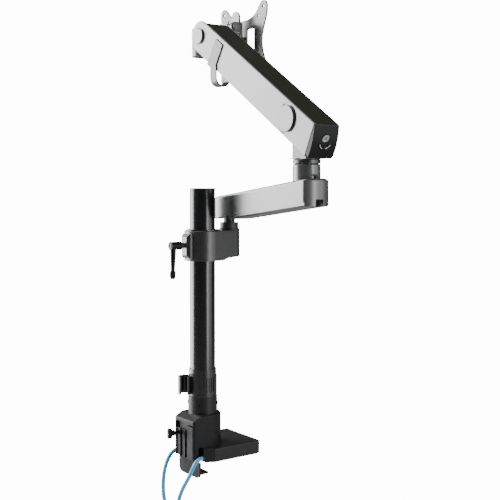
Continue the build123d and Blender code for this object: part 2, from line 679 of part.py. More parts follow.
big_caps = []
small_caps = []
for side in (-1, 1):
    for u, r, group in ((0, big_cap_r, big_caps), (arm_length, small_cap_r, small_caps)):
        a = side * (arm_half - recess)
        b = side * (arm_half + cap_proud)
        one = cyl_y(r, min(a, b), max(a, b), u, 0)
        one = fillet(one.faces().sort_by(Axis.Y)[-1 if side > 0 else 0].edges(), 0.8)
        one -= cyl_y(4.0, min(a, side * (arm_half + 0.8)), max(a, side * (arm_half + 0.8)), u, 0)
        group.append(on_arm(one))
save("pivot_caps", *big_caps, *small_caps)
axle_end = arm_half - recess - 0.4
bushes = []
for u, r, bore in ((0, axle_bush_r, axle_r + run), (arm_length, head_bush_r, head_axle_r + run)):
    for side in (-1, 1):
        a, b = sorted((side * (inner_half - 0.9), side * (arm_half - recess)))
        c, d = sorted((side * (inner_half - 0.9), side * inner_half))
        one = cyl_y(r, a, b, u, 0) + cyl_y(r + 2.5, c, d, u, 0) - cyl_y(bore, -30, 30, u, 0)
        bushes.append(on_arm(one))
save("arm_axle_bushes", *bushes)
elbow_axle = cyl_y(axle_r, link_y - axle_end, link_y + axle_end, pitch_x, pitch_z)

# gas spring: fixed cylinder and a sliding rod whose head pushes on the knuckle's drive pin
pitch_sin = math.sin(pitch)
head_u = -tie_drop * pitch_sin
cylinder_u = 75.0
cylinder_r = 8.0
rod_r = 4.0
spring_tube = cyl_x(cylinder_r, cylinder_u, anchor_u - 0.2, spring_v, spring_n)
spring_tube = chamfer(spring_tube.faces().sort_by(Axis.X)[0].edges(), 1.2)
spring_tube -= cyl_x(cylinder_r - 1.6, cylinder_u + 12, anchor_u - 8, spring_v, spring_n)
spring_tube -= cyl_x(rod_r + run, cylinder_u - 1, cylinder_u + 13, spring_v, spring_n)
spring_tube += cyl_x(tail_stud_r, anchor_u - 1, anchor_u + 16, spring_v, spring_n)
spring_nut = cyl_x(6.5, anchor_u + 11.1, anchor_u + 15, spring_v, spring_n)
spring_nut -= cyl_x(tail_stud_r + fit, 150, 260, spring_v, spring_n)
save("gas_spring_cylinder", on_arm(spring_tube), on_arm(spring_nut))
lane_half = 6.6
push_face = head_u + drive_pin_r + 0.4
push_thick = 7.0
push_top = -axle_r - 0.9
push_low = -19.0
push_head = box(push_face, push_face + push_thick, spring_v - lane_half, spring_v + lane_half,
                push_low, push_top)
rod_start = push_face + push_thick - 1
rod = cyl_x(rod_r, rod_start, 160, spring_v, spring_n) + cyl_x(cylinder_r - 1.9, 150, 158, spring_v,
    spring_n)
save("gas_spring_rod", on_arm(push_head + rod))

# tie rod that keeps the head level
tie_lane = (8.4, 12.4)
tie_eye_r = 6.0
tie_u0 = -tie_drop * pitch_sin
tie_n0 = -tie_drop * math.cos(pitch)
tie_face = disc(tie_eye_r, tie_u0, tie_n0) + disc(tie_eye_r, tie_u0 + arm_length, tie_n0)
tie_face += rect(tie_u0, tie_u0 + arm_length, tie_n0 - 3.4, tie_n0 + 3.4)
tie = slab_arm(tie_face, tie_lane[0], tie_lane[1])
tie -= cyl_y(tie_pin_r + run, 0, 30, tie_u0, tie_n0)
tie -= cyl_y(tie_pin_r + 0.3, 0, 30, tie_u0 + arm_length, tie_n0)
save("tie_rod", on_arm(tie))


def tie_pin(x, z, inner_v):
    stem = cyl_y(tie_pin_r, link_y - 13.0, link_y - inner_v, x, z)
    return stem + cyl_y(tie_pin_r + 2, link_y - 15.2, link_y - tie_lane[1] - 0.4, x, z)


drive_pin = cyl_y(drive_pin_r, link_y - cheek_a[1], link_y + 15.8, pitch_x, drive_z)
save("elbow_pins", elbow_axle, drive_pin + tie_pin(pitch_x, drive_z, cheek_a[1] - 1))
tie_high_z = head_z - tie_drop

# cable clip on the arm: a plate on the near side and a loop below
loop_x0 = -15.0
loop_x1 = -1.0
loop_wall = 1.8
clip_face = -arm_half - 1.7
plate_leg = slab_arm(rect(177, 197, -arm_half_h - 2, 15.7), arm_half + 0.05, arm_half + 1.7)
plate_leg = fillet(plate_leg.edges().filter_by(Axis.Y).group_by(Axis.Z)[-1], 1.5)
loop_out = 12.6
loop_y = link_y + clip_face + loop_out
loop_z = 525.0
loop_face = Pos(loop_y, loop_z) * (Circle(loop_out) - Circle(loop_out - loop_wall) - rect(-20, 20, 0, 20))
loop_near = rect(loop_y - loop_out, loop_y - loop_out + loop_wall, loop_z, 541)
loop_far = rect(loop_y + loop_out - loop_wall, loop_y + loop_out, loop_z, 541)
loop_solid = extrude(Plane.YZ * (loop_face + loop_near + loop_far), loop_x1 - loop_x0)
loop_solid = Pos(loop_x0, 0, 0) * loop_solid
inside = on_arm(box(120, 240, -arm_half - 0.05, arm_half + 0.05, -arm_half_h - 0.05, 40))
loop_solid -= inside
loop_solid -= on_arm(box(120, 240, arm_half, 40, -arm_half_h + 6, 60))
arm_clip = on_arm(plate_leg) + loop_solid
save("arm_cable_clip", arm_clip)

# ---- head ----
lug_foot = rect(pan_x + 8, pan_x + 10, sleeve_low + 0.5, sleeve_top - 0.5)
lug_outline = hull_of(disc(11.0, head_x, head_z), disc(7.0, head_x, tie_high_z), lug_foot)
head = slab_y(lug_outline, link_y - 7.6, link_y + 12)
head -= cyl(hub_r + 0.8, 500, sleeve_low, pan_x, link_y)
head -= cyl(hub_r + 0.8, sleeve_top, 700, pan_x, link_y)
head += cyl(hub_r, sleeve_low, sleeve_top, pan_x, link_y)
head = head - cyl_y(head_axle_r + fit, link_y - 20, link_y + 20, head_x, head_z)
head -= cyl_y(tie_pin_r + fit, link_y - 9, link_y + 1, head_x, tie_high_z)
pan_pin_r = 6.0
head -= cyl(pan_pin_r + run, 500, 700, pan_x, link_y)
save("head_link", head)
head_axle = cyl_y(head_axle_r, link_y - axle_end, link_y + axle_end, head_x, head_z)
save("head_pins", head_axle, tie_pin(head_x, tie_high_z, 0.0))
arm_low = hub_low
fork = cyl(hub_r, hub_low, sleeve_low - 1.0, pan_x, link_y)
fork = fillet(fork.faces().sort_by(Axis.Z)[0].edges(), 1.0)
post_back = 79.0
post_front = 87.0
low_arm = box(pan_x - 9, pan_x + 9, link_y, post_front, arm_low + 0.6, arm_low + 7)
post_face = polygon([
    (post_back, arm_low + 0.6),
    (post_front, arm_low + 0.6),
    (post_front, plate_z + 4),
    (tilt_y + 4, tilt_z - 3),
    (tilt_y - 3, tilt_z + 3),
    (post_back, plate_z + 8),
])
post = Pos(pan_x, 0, 0) * extrude(Plane.YZ * post_face, 9, both=True)
barrel_half = 11.4
barrel_r = 6.5
fork += low_arm + post + cyl_x(barrel_r, pan_x - barrel_half, pan_x + barrel_half, tilt_y, tilt_z)
fork -= cyl(pan_pin_r + fit, 500, sleeve_low, pan_x, link_y)
tilt_bolt_r = 3.0
fork -= cyl_x(tilt_bolt_r + run, pan_x - 40, pan_x + 40, tilt_y, tilt_z)
save("pan_bracket", fork)
pan_lid = cyl(hub_r, sleeve_top + 1.0, hub_top, pan_x, link_y)
pan_lid = fillet(pan_lid.faces().sort_by(Axis.Z)[-1].edges(), 1.5)
save("pan_pin", pan_lid + cyl(pan_pin_r, hub_low + 1, sleeve_top + 2, pan_x, link_y))
washers = []
for z in (sleeve_low - 0.9, sleeve_top + 0.1):
    washers.append(cyl(hub_r - 1.2, z, z + 0.8, pan_x, link_y) - cyl(pan_pin_r + run, 500, 700,
                   pan_x, link_y))
save("pan_washers", *washers)

tab_r = 9.7
tab_z = 623.5
tongue_out = rect(pan_x - 15, pan_x + 15, 566, 616)
tongue_out = fillet(tongue_out.vertices(), 4.0)
tongue_out += disc(tab_r, pan_x, tab_z) + rect(pan_x - tab_r, pan_x + tab_r, 600, tab_z)
tilt = slab_y(tongue_out, tilt_plate_y, tilt_plate_y + 3)
ear_in = barrel_half + 0.5
for side in (-1, 1):
    x0, x1 = sorted((pan_x + side * ear_in, pan_x + side * (ear_in + 3)))
    ear = cyl_x(7.5, x0, x1, tilt_y, tilt_z) + box(x0, x1, tilt_y, tilt_plate_y + 1, tilt_z - 7.5,
        tilt_z + 7.5)
    tilt += ear
tilt -= cyl_x(tilt_bolt_r + fit, pan_x - 40, pan_x + 40, tilt_y, tilt_z)
spin_r = 4.0
tilt -= cyl_y(spin_r + fit, 90, 120, pan_x, plate_z)
save("tilt_plate", tilt)
bolt_out = ear_in + 3 + 0.1
tilt_bolt = cyl_x(tilt_bolt_r, pan_x - bolt_out - 4.5, pan_x + bolt_out + 1, tilt_y, tilt_z)
tilt_bolt += cyl_x(5.0, pan_x + bolt_out, pan_x + bolt_out + 3.5, tilt_y, tilt_z)
tilt_nut = Pos(pan_x - bolt_out - 3.6, tilt_y, tilt_z) * Rot(0, 90, 0) * extrude(RegularPolygon(5.2, 6), 3.6)
tilt_nut -= cyl_x(tilt_bolt_r + fit, pan_x - 40, pan_x, tilt_y, tilt_z)
save("tilt_bolt", tilt_bolt, tilt_nut)
disc_r = 11.0
disc_front = plate_y - 1.0
turn_disc = cyl_y(disc_r, tilt_plate_y + 3, disc_front, pan_x, plate_z) - cyl_y(spin_r + fit, 90,
    130, pan_x, plate_z)
turn_disc = chamfer(turn_disc.faces().sort_by(Axis.Y)[-1].edges().sort_by(SortBy.LENGTH)[-1], 1.0)
slip_washer = cyl_y(disc_r - 2, disc_front, disc_front + 0.7, pan_x, plate_z)
slip_washer -= cyl_y(spin_r + run, 90, 130, pan_x, plate_z)
save("rotation_disc", turn_disc, slip_washer)

half = vesa / 2
ear_r = 8.8
waist = 46.0
bar_edge = 28.0
spine_half = 9.0
window_high = 21.0
arm_high_z = 36.0
quarter = make_face([
    Polyline((0, 0), (0, arm_high_z - 1)),
    Spline((0, arm_high_z - 1), (18, arm_high_z + 0.5), (31, arm_high_z + 7), (half - ear_r * 0.75,
           half + ear_r * 0.66),
           tangents=((1, 0), (0.75, 0.66))),
    ThreePointArc((half - ear_r * 0.75, half + ear_r * 0.66), (half + ear_r * 0.55, half + ear_r * 0.835),
                  (half + ear_r, half)),
    Spline((half + ear_r, half), (half + 2.0, 24), (waist, 0), tangents=((0, -1), (0, -1))),
    Line((waist, 0), (0, 0)),
])
butterfly = quarter + mirror(quarter, Plane.YZ)
butterfly += mirror(butterfly, Plane.XZ)
window = rect(spine_half, bar_edge, -window_high, window_high)
window = fillet(window.vertices(), 3.0)
butterfly -= window + mirror(window, Plane.YZ)
for sx in (-1, 1):
    for sz in (-1, 1):
        butterfly -= Pos(sx * half, sz * half) * Circle(vesa_hole_r)
        butterfly -= Pos(sx * vesa_small / 2, sz * vesa_small / 2) * Circle(vesa_small_hole_r)
plate_body = Pos(pan_x, 0, plate_z) * slab_y(butterfly, plate_y, plate_y + plate_thick)
plate_body -= cyl_y(spin_r + run, 90, 130, pan_x, plate_z)
plate_body -= cyl_y(7.2, plate_y + plate_thick - 1.6, 130, pan_x, plate_z)
save("screen_plate", plate_body)
spin_bolt = cyl_y(spin_r, tilt_plate_y + 0.3, plate_y + plate_thick - 0.5, pan_x, plate_z)
spin_bolt += cyl_y(6.9, plate_y + plate_thick - 1.4, plate_y + plate_thick - 0.1, pan_x, plate_z)
save("rotation_bolt", spin_bolt)

# ---- free cords: tube, tied round coil, plug ----
left_route = [
    (-cord_exit_x, base_back, cord_exit_z),
    (-cord_exit_x, base_back - 6, cord_exit_z),
    (-28.8, -35.5, 0.5),
    (-27.6, -43.2, -12.0),
    (-27.0, -46.8, -25.0),
    (-27.4, -47.8, -40.5),
    (-28.2, -46.4, -58.0),
    (-29.0, -40.5, -76.5),
    (-29.0, -31.5, -94.5),
]
right_route = [
    (cord_exit_x, base_back, cord_exit_z),
    (cord_exit_x, base_back - 5.5, cord_exit_z),
    (cord_exit_x, -30.5, 2.0),
    (29.6, -35.5, -6.5),
    (29.2, -41.5, -17.5),
    (29.0, -50.5, -29.0),
    (29.5, -58.0, -43.5),
    (29.5, -59.5, -60.5),
    (29.2, -52.0, -76.5),
    (29.0, -40.0, -88.5),
    (29.0, -30.5, -96.0),
]


def route_radii(name, points):
    """The bend at each corner: 0.45 of its shorter run over the tangent of half its turn."""
    radii = []
    for a, b, c in zip(points, points[1:], points[2:]):
        first = Vector(*b) - Vector(*a)
        second = Vector(*c) - Vector(*b)
        turn = math.radians(first.get_angle(second))
        radii.append(0.45 * min(first.length, second.length) / math.tan(turn / 2))
    print(name, "bend radii", [round(r, 1) for r in radii])
    return radii


def cord_tube(name, points):
    path = FilletPolyline(*points, radius=route_radii(name, points))
    profile = Plane(origin=path @ 0, z_dir=path % 0) * Circle(cord_r)
    tube = sweep(profile, path=path)
    want = math.pi * cord_r**2 * path.length
    print(name, "length", round(path.length, 1), "volume ratio", round(tube.volume / want, 4))
    return tube


def hang_coil(x):
    ring = Pos(x, coil_y, coil_z) * Rot(0, 90, 0) * Torus(coil_r, coil_bundle_r)
    return ring


plug_top = coil_z - 24.3
plugs = []
for name, route in (("left", left_route), ("right", right_route)):
    x = route[-1][0]
    save(f"{name}_cord", cord_tube(name, route))
    save(f"{name}_cord_coil", hang_coil(x))
    y = coil_y + coil_r
    relief = loft([Pos(x, y, plug_top) * Circle(cord_r + 0.5), Pos(x, y, plug_top - 13) * Ellipse(5.2, 3.4)])
    grip_block = Pos(x, y, plug_top - 13 - 9) * Box(15.0, 8.0, 18.0)
    grip_block = fillet(grip_block.edges().filter_by(Axis.Z), 2.5)
    metal = Pos(x, y, plug_top - 31 - 6) * (Box(12.0, 4.5, 12.0) - Box(11.2, 3.7, 13.0))
    metal += Pos(x, y - 0.9, plug_top - 31 - 5.5) * Box(11.4, 1.9, 11.0)
    plugs.append(relief + grip_block + metal)
ties = []
for x in (left_route[-1][0], right_route[-1][0]):
    tie_ring = Cylinder(coil_bundle_r + 1.6, 8.0) - Cylinder(coil_bundle_r + 0.5, 9.0)
    ties.append(Pos(x, coil_y - coil_r, coil_z) * tie_ring)
save("cord_ties", *ties)
save("usb_plugs", *plugs)

print(len(made), "nodes")
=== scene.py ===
"""Monitor arm: finishes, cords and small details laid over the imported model."""

import math

import bmesh
import bpy
from mathutils import Matrix, Vector


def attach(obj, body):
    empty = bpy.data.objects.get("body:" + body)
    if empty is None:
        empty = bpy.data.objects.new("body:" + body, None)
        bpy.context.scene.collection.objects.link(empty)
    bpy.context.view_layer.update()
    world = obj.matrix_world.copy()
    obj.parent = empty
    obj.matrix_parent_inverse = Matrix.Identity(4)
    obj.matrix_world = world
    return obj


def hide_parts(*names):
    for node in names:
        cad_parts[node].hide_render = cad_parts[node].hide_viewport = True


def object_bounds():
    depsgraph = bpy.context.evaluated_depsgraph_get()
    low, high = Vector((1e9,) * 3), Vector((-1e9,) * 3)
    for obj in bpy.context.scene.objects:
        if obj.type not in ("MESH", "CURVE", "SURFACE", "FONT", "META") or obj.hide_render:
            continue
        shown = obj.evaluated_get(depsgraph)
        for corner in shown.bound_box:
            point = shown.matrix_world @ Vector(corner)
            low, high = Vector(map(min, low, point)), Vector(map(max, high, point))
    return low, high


bl_info = {
    "name": "Monitor Arm",
    "version": (1, 0, 0),
    "blender": (4, 5, 0),
    "location": "3D View > Sidebar > Monitor Arm",
    "description": "Builds the finishes, cords and small details of a desk-clamped monitor arm",
    "category": "Object",
}

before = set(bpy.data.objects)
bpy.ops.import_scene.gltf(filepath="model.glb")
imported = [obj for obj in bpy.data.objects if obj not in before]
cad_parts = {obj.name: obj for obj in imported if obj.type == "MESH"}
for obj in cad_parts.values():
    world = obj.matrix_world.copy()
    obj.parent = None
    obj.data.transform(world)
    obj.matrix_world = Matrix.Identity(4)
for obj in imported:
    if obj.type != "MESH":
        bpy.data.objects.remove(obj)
CAD_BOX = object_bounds()
MM = 0.001


# ---- sizes and colours ----
class ArmCordSizes(bpy.types.PropertyGroup):
    """The two leads that hang from the base."""

    diameter: bpy.props.FloatProperty(
        name="Diameter", description="Outside diameter of each lead", default=0.0055, unit="LENGTH"
    )
    length: bpy.props.FloatProperty(
        name="Length", description="Whole length of each lead", default=1.30, unit="LENGTH"
    )
    coil_radius: bpy.props.FloatProperty(
        name="Coil radius", description="Radius of the middle of the coil", default=0.030, unit="LENGTH"
    )
    turn_spacing: bpy.props.FloatProperty(
        name="Turn spacing", description="Distance between turns that lie side by side",
        default=0.0062, unit="LENGTH"
    )
    jacket: bpy.props.FloatVectorProperty(
        name="Jacket", description="Colour of the leads", default=(0.07, 0.40, 0.74),
        subtype="COLOR", min=0, max=1
    )


class ArmFinishes(bpy.types.PropertyGroup):
    """The colours that an owner would choose; the panel grey is the black paint lightened as a painted
    reflection, since the real panels look grey only from what they reflect.
    """

    enamel: bpy.props.FloatVectorProperty(
        name="Enamel", description="Gloss enamel of the pole", default=(0.006, 0.006, 0.007),
        subtype="COLOR", min=0, max=1
    )
    satin: bpy.props.FloatVectorProperty(
        name="Satin", description="Satin paint of the castings", default=(0.017, 0.017, 0.019),
        subtype="COLOR", min=0, max=1
    )
    # Painted reflection: the arm's black paint lightened to a dark grey that stands in for the reflections
    # on the panels, the link and the head.
    panel: bpy.props.FloatVectorProperty(
        name="Panel", description="Paint of the arm's long panels", default=(0.06, 0.061, 0.064),
        subtype="COLOR", min=0, max=1
    )
    plastic: bpy.props.FloatVectorProperty(
        name="Plastic", description="Moulded covers", default=(0.012, 0.012, 0.0135),
        subtype="COLOR", min=0, max=1
    )
    base: bpy.props.FloatVectorProperty(
        name="Base", description="Paint of the base plate", default=(0.013, 0.013, 0.0145),
        subtype="COLOR", min=0, max=1
    )


class ArmStage(bpy.types.PropertyGroup):
    """Floor, camera and lights."""

    lens: bpy.props.FloatProperty(name="Lens", description="Focal length in millimetres", default=68.4)
    tilt: bpy.props.FloatProperty(name="Tilt", description="Degrees that the camera looks down",
                                  default=1.95)
    shift: bpy.props.FloatProperty(name="Shift", description="Vertical shift of the lens", default=-0.065)
    key: bpy.props.FloatProperty(name="Key", description="Power of the large soft box",
                                 default=84.0, unit="POWER")
    fill: bpy.props.FloatProperty(name="Fill", description="Power of the narrow light on the right",
                                  default=13.0, unit="POWER")
    side: bpy.props.FloatProperty(name="Side", description="Power of the broad light on the right",
                                  default=16.0, unit="POWER")
    top: bpy.props.FloatProperty(name="Top", description="Power of the overhead light",
                                 default=12.0, unit="POWER")
    ambient: bpy.props.FloatProperty(name="Ambient",
                                     description="Strength of the surrounding light", default=0.10)
    backdrop: bpy.props.FloatProperty(name="Backdrop", description="Brightness behind the arm", default=14.0)
    floor_drop: bpy.props.FloatProperty(
        name="Floor drop", description="How far the floor lies below the coils", default=0.03, unit="LENGTH"
    )


# ---- shader groups ----
def new_group(name, inputs, outputs):
    """An empty group with the named sockets; each entry is (socket kind, name, default)."""
    tree = bpy.data.node_groups.new(name, "ShaderNodeTree")
    for kind, label, default in inputs:
        socket = tree.interface.new_socket(label, in_out="INPUT", socket_type=kind)
        socket.default_value = default
    for kind, label in outputs:
        tree.interface.new_socket(label, in_out="OUTPUT", socket_type=kind)
    return tree, tree.nodes.new("NodeGroupInput"), tree.nodes.new("NodeGroupOutput")


def math_node(tree, operation, a, b, clamp=False):
    node = tree.nodes.new("ShaderNodeMath")
    node.operation = operation
    node.use_clamp = clamp
    for socket, value in zip(node.inputs, (a, b)):
        if isinstance(value, (int, float)):
            socket.default_value = value
        else:
            tree.links.new(value, socket)
    return node.outputs[0]


def noise_node(tree, vector, scale, detail=3.0, roughness=0.5):
    node = tree.nodes.new("ShaderNodeTexNoise")
    node.inputs["Detail"].default_value = detail
    node.inputs["Roughness"].default_value = roughness
    tree.links.new(vector, node.inputs["Vector"])
    if isinstance(scale, (int, float)):
        node.inputs["Scale"].default_value = scale
    else:
        tree.links.new(scale, node.inputs["Scale"])
    return node.outputs["Fac"]


def mix_colours(tree, factor, a, b):
    node = tree.nodes.new("ShaderNodeMix")
    node.data_type = "RGBA"
    for label, value in (("Factor", factor), ("A", a), ("B", b)):
        socket = next(s for s in node.inputs if s.name == label and s.enabled)
        if isinstance(value, (int, float, tuple)):
            socket.default_value = value
        else:
            tree.links.new(value, socket)
    return next(s for s in node.outputs if s.enabled)


def object_coords(tree):
    return tree.nodes.new("ShaderNodeTexCoord").outputs["Object"]


def grain_group():
    """Fine moulded or sprayed grain: a drifting colour, a varying roughness and a height for a bump."""
    tree, entry, out = new_group(
        "Grain",
        [
            ("NodeSocketColor", "Colour", (0.02, 0.02, 0.02, 1)),
            ("NodeSocketColor", "Tint", (0.03, 0.03, 0.03, 1)),
            ("NodeSocketFloat", "Scale", 900.0),
            ("NodeSocketFloat", "Roughness", 0.35),
            ("NodeSocketFloat", "Spread", 0.1),
        ],
        [("NodeSocketColor", "Colour"), ("NodeSocketFloat", "Roughness"), ("NodeSocketFloat", "Height")],
    )
    coords = object_coords(tree)
    fine = noise_node(tree, coords, entry.outputs["Scale"], 4.0, 0.6)
    pits = tree.nodes.new("ShaderNodeTexVoronoi")
    tree.links.new(coords, pits.inputs["Vector"])
    tree.links.new(entry.outputs["Scale"], pits.inputs["Scale"])
    drift = noise_node(tree, coords, 14.0, 3.0, 0.55)
    mixed = math_node(tree, "MULTIPLY", drift, fine)
    colour = mix_colours(tree, mixed, entry.outputs["Colour"], entry.outputs["Tint"])
    swing = math_node(tree, "MULTIPLY", math_node(tree, "SUBTRACT", drift, 0.5), entry.outputs["Spread"])
    rough = math_node(tree, "ADD", entry.outputs["Roughness"], swing, True)
    height = math_node(tree, "ADD", math_node(tree, "MULTIPLY", pits.outputs["Distance"], 0.6), fine)
    tree.links.new(colour, out.inputs["Colour"])
    tree.links.new(rough, out.inputs["Roughness"])
    tree.links.new(height, out.inputs["Height"])
    return tree


def edge_highlight_group():
    """Painted edge highlight: a mask that is 1 where the surface turns sharply, broken into patches by
    noise; it lightens the colour where a chamfer would catch the light.
    """
    tree, entry, out = new_group(
        "Painted edge highlight",
        [("NodeSocketFloat", "Amount", 0.5), ("NodeSocketFloat", "Scale", 60.0)],
        [("NodeSocketFloat", "Mask")],
    )
    bevel = tree.nodes.new("ShaderNodeBevel")
    bevel.samples = 4
    bevel.inputs["Radius"].default_value = 0.0009
    geometry = tree.nodes.new("ShaderNodeNewGeometry")
    dot = tree.nodes.new("ShaderNodeVectorMath")
    dot.operation = "DOT_PRODUCT"
    tree.links.new(bevel.outputs[0], dot.inputs[0])
    tree.links.new(geometry.outputs["Normal"], dot.inputs[1])
    sharp = math_node(tree, "SUBTRACT", 0.985, dot.outputs["Value"], True)
    sharp = math_node(tree, "MULTIPLY", sharp, 6.0, True)
    patch = noise_node(tree, object_coords(tree), entry.outputs["Scale"], 5.0, 0.65)
    # The sharp-edge mask, in noisy patches, marks where the painted edge highlight goes.
    edge_highlight = math_node(tree, "MULTIPLY", sharp, patch)
    tree.links.new(math_node(tree, "MULTIPLY", edge_highlight, entry.outputs["Amount"], True), out.inputs["Mask"])
    return tree


def dust_group():
    """Thin dust that settles on faces that look up."""
    tree, entry, out = new_group(
        "Dust", [("NodeSocketFloat", "Amount", 0.2), ("NodeSocketFloat", "Scale", 35.0)],
        [("NodeSocketFloat", "Mask")]
    )
    geometry = tree.nodes.new("ShaderNodeNewGeometry")
    split = tree.nodes.new("ShaderNodeSeparateXYZ")
    tree.links.new(geometry.outputs["Normal"], split.inputs[0])
    up = math_node(tree, "SUBTRACT", split.outputs["Z"], 0.25, True)
    specks = noise_node(tree, object_coords(tree), entry.outputs["Scale"], 8.0, 0.7)
    settled = math_node(tree, "MULTIPLY", up, math_node(tree, "POWER", specks, 2.0))
    tree.links.new(math_node(tree, "MULTIPLY", settled, entry.outputs["Amount"], True), out.inputs["Mask"])
    return tree


def turned_group():
    """Turning marks: fine rings and scratches that change the roughness and the height."""
    tree, entry, out = new_group(
        "Turned metal",
        [("NodeSocketFloat", "Roughness", 0.3), ("NodeSocketFloat", "Spread", 0.2),
         ("NodeSocketFloat", "Scale", 500.0)],
        [("NodeSocketFloat", "Roughness"), ("NodeSocketFloat", "Height")],
    )
    coords = object_coords(tree)
    stretch = tree.nodes.new("ShaderNodeMapping")
    stretch.inputs["Scale"].default_value = (1.0, 1.0, 9.0)
    tree.links.new(coords, stretch.inputs["Vector"])
    marks = noise_node(tree, stretch.outputs[0], entry.outputs["Scale"], 5.0, 0.7)
    patch = noise_node(tree, coords, 45.0, 3.0)
    both = math_node(tree, "SUBTRACT", math_node(tree, "ADD", marks, patch), 1.0)
    rough = math_node(tree, "ADD", entry.outputs["Roughness"], math_node(tree, "MULTIPLY", both,
                      entry.outputs["Spread"]), True)
    tree.links.new(rough, out.inputs["Roughness"])
    tree.links.new(marks, out.inputs["Height"])
    return tree


GROUPS = {}
FINISHES = {}


def place_group(tree, name, **values):
    """Puts a shared group in a material, with this finish's own values."""
    makers = {"Grain": grain_group, "Painted edge highlight": edge_highlight_group, "Dust": dust_group,
              "Turned metal": turned_group}
    if name not in GROUPS:
        GROUPS[name] = makers[name]()
    node = tree.nodes.new("ShaderNodeGroup")
    node.node_tree = GROUPS[name]
    for label, value in values.items():
        node.inputs[label].default_value = value
    return node


def bump(tree, height, strength, distance):
    node = tree.nodes.new("ShaderNodeBump")
    node.inputs["Strength"].default_value = strength
    node.inputs["Distance"].default_value = distance
    tree.links.new(height, node.inputs["Height"])
    return node.outputs["Normal"]


def blank_material(name, **sockets):
    """A material with its own Principled shader; constants are set on the shader's sockets."""
    material = bpy.data.materials.new(name)
    material.use_nodes = True
    shader = material.node_tree.nodes["Principled BSDF"]
    for label, value in sockets.items():
        shader.inputs[label.replace("_", " ")].default_value = value
    return material, material.node_tree, shader


def rgba(colour, gain=1.0):
    return (min(colour[0] * gain, 1), min(colour[1] * gain, 1), min(colour[2] * gain, 1), 1)


def coated(name, colour, roughness, spread, grain, depth, edge_highlight, dusty, **sockets):
    """Paint or moulded plastic: grain, a painted edge highlight that lightens the sharp edges, and a little
    dust on top.
    """
    material, tree, shader = blank_material(name, **sockets)
    skin = place_group(
        tree, "Grain", Colour=rgba(colour), Tint=rgba(colour, 1.9), Scale=grain,
        Roughness=roughness, Spread=spread
    )
    edges = place_group(tree, "Painted edge highlight", Amount=edge_highlight, Scale=70.0)
    dust = place_group(tree, "Dust", Amount=dusty, Scale=38.0)
    # Painted edge highlight: the sharp edges are mixed towards a light grey where a chamfer would catch the
    # light.
    edge_highlighted = mix_colours(tree, edges.outputs["Mask"], skin.outputs["Colour"], (0.22, 0.22, 0.23, 1))
    dusted = mix_colours(tree, dust.outputs["Mask"], edge_highlighted, (0.30, 0.295, 0.285, 1))
    rough = math_node(tree, "ADD", skin.outputs["Roughness"], math_node(tree, "MULTIPLY",
                      dust.outputs["Mask"], 0.3), True)
    tree.links.new(dusted, shader.inputs["Base Color"])
    tree.links.new(rough, shader.inputs["Roughness"])
    tree.links.new(bump(tree, skin.outputs["Height"], 0.5, depth), shader.inputs["Normal"])
    FINISHES[name] = material


def metal(name, colour, roughness, spread, scale, **sockets):
    """Bare or plated metal with turning marks."""
    material, tree, shader = blank_material(name, Metallic=1.0, **sockets)
    marks = place_group(tree, "Turned metal", Roughness=roughness, Spread=spread, Scale=scale)
    stain = noise_node(tree, object_coords(tree), 120.0, 4.0)
    tone = mix_colours(tree, stain, rgba(colour), rgba(colour, 0.72))
    # Painted edge highlight: the sharp edges take a lighter copy of the metal's colour where a chamfer would
    # catch the light.
    edges = place_group(tree, "Painted edge highlight", Amount=0.5, Scale=90.0)
    bright = mix_colours(tree, edges.outputs["Mask"], tone, rgba(colour, 1.25))
    tree.links.new(bright, shader.inputs["Base Color"])
    tree.links.new(marks.outputs["Roughness"], shader.inputs["Roughness"])
    tree.links.new(bump(tree, marks.outputs["Height"], 0.3, 0.00002), shader.inputs["Normal"])
    FINISHES[name] = material


def jacket_material(name, colour):
    """Soft glossy lead jacket with faint ripples."""
    material, tree, shader = blank_material(name, Coat_Weight=0.25, Coat_Roughness=0.2)
    skin = place_group(
        tree, "Grain", Colour=rgba(colour), Tint=rgba(colour, 1.15), Scale=420.0, Roughness=0.40, Spread=0.12
    )
    dust = place_group(tree, "Dust", Amount=0.05, Scale=60.0)
    dusted = mix_colours(tree, dust.outputs["Mask"], skin.outputs["Colour"], (0.55, 0.6, 0.65, 1))
    tree.links.new(dusted, shader.inputs["Base Color"])
    tree.links.new(skin.outputs["Roughness"], shader.inputs["Roughness"])
    tree.links.new(bump(tree, skin.outputs["Height"], 0.15, 0.00003), shader.inputs["Normal"])
    FINISHES[name] = material


